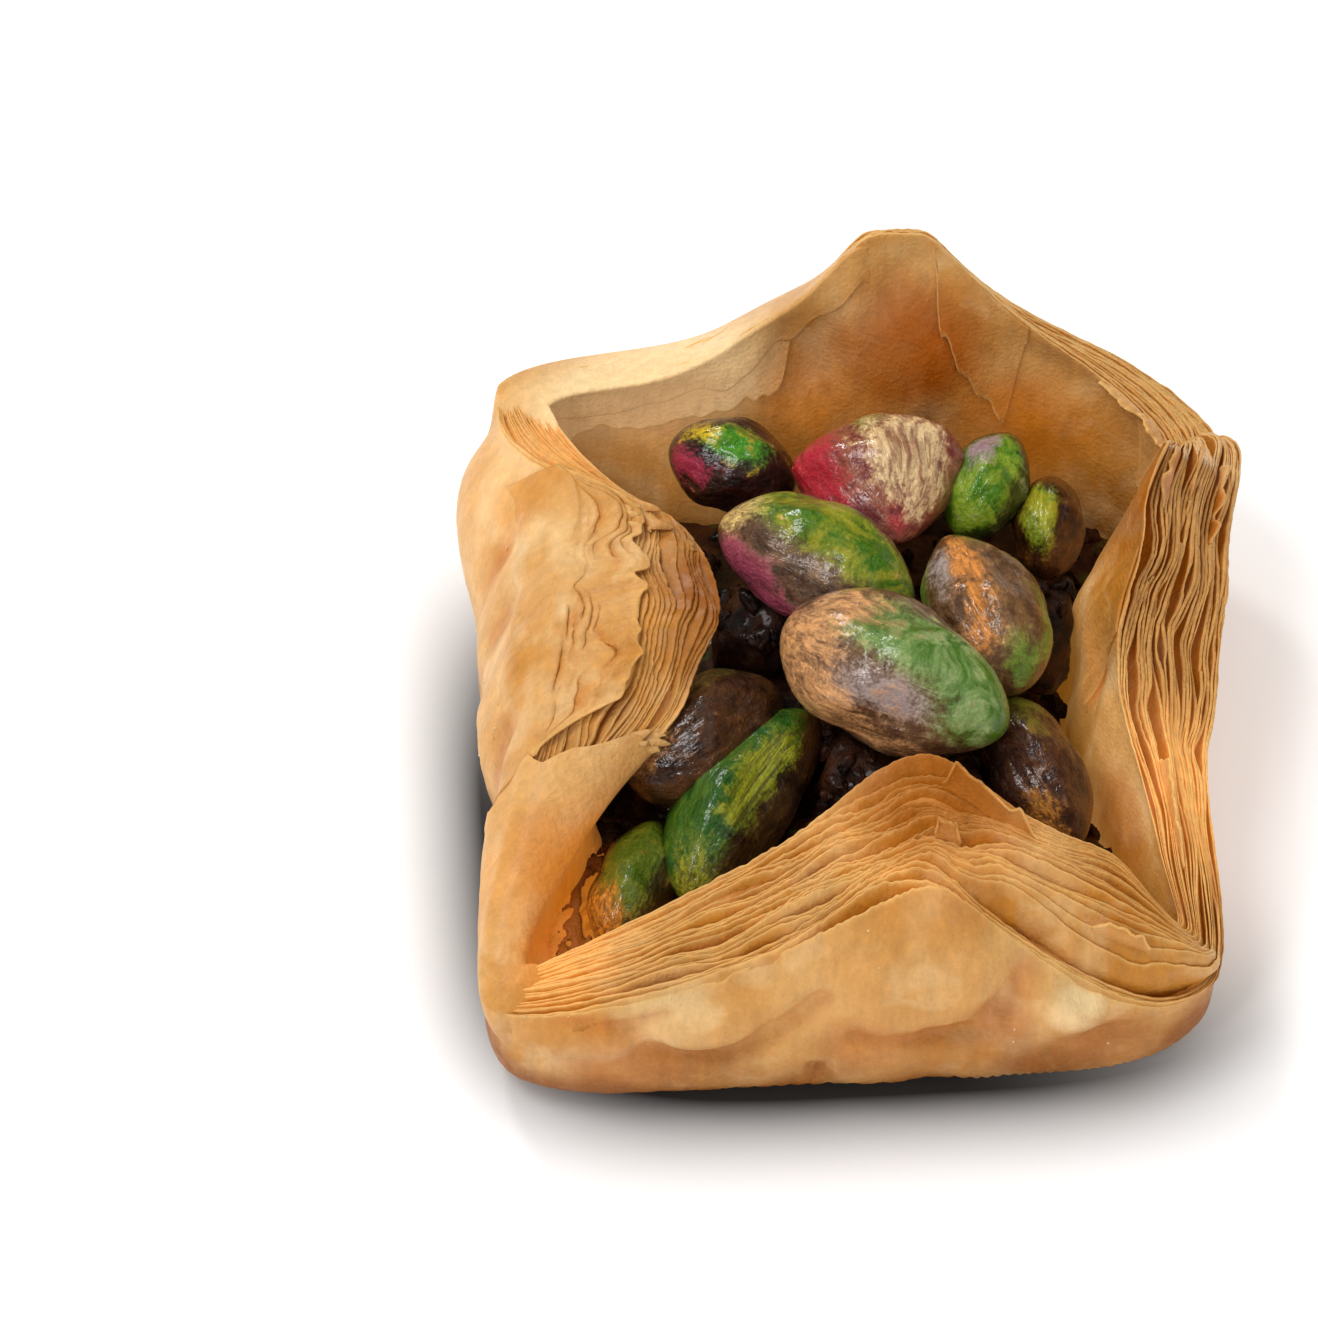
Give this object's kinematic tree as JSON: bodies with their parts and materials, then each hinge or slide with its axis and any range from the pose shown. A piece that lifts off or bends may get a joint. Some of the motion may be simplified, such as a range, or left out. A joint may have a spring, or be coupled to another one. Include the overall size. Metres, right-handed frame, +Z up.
{
  "type": "baklava piece",
  "caption": "Square nest of stacked filo sheets with four raised, peaked walls, its hollow heaped with whole pistachio kernels in syrup.",
  "frame": {"origin": "on the plate, under the middle of the nest's box", "axes": "+Z up; -Y towards the low wall whose peak leans in over the kernels (the front); +X to the right"},
  "size_m": [0.0512, 0.0522, 0.0276],
  "materials": {
    "filo_pastry": "baked filo, satin with syrup",
    "nut_bed": "dark, syrup-soaked kernels",
    "pistachio_centre": "pistachio kernel, thin glossy syrup",
    "pistachio_right": "pistachio kernel, thin glossy syrup",
    "pistachio_upper_left": "pistachio kernel, thin glossy syrup",
    "pistachio_back": "pistachio kernel, thin glossy syrup",
    "pistachio_back_green": "pistachio kernel, thin glossy syrup",
    "pistachio_back_left": "pistachio kernel, thin glossy syrup",
    "pistachio_left": "pistachio kernel, thin glossy syrup",
    "pistachio_green": "pistachio kernel, thin glossy syrup",
    "pistachio_lower_right": "pistachio kernel, thin glossy syrup",
    "pistachio_back_right": "pistachio kernel, thin glossy syrup",
    "pistachio_front_left": "pistachio kernel, thin glossy syrup"
  },
  "bodies": {
    "root": {"filo_nest": "filo_pastry", "nut_bed": "nut_bed", "pistachio_centre": "pistachio_centre", "pistachio_right": "pistachio_right", "pistachio_upper_left": "pistachio_upper_left", "pistachio_back": "pistachio_back", "pistachio_back_green": "pistachio_back_green", "pistachio_back_left": "pistachio_back_left", "pistachio_left": "pistachio_left", "pistachio_green": "pistachio_green", "pistachio_lower_right": "pistachio_lower_right", "pistachio_back_right": "pistachio_back_right", "pistachio_front_left": "pistachio_front_left"}
  },
  "joints": []
}
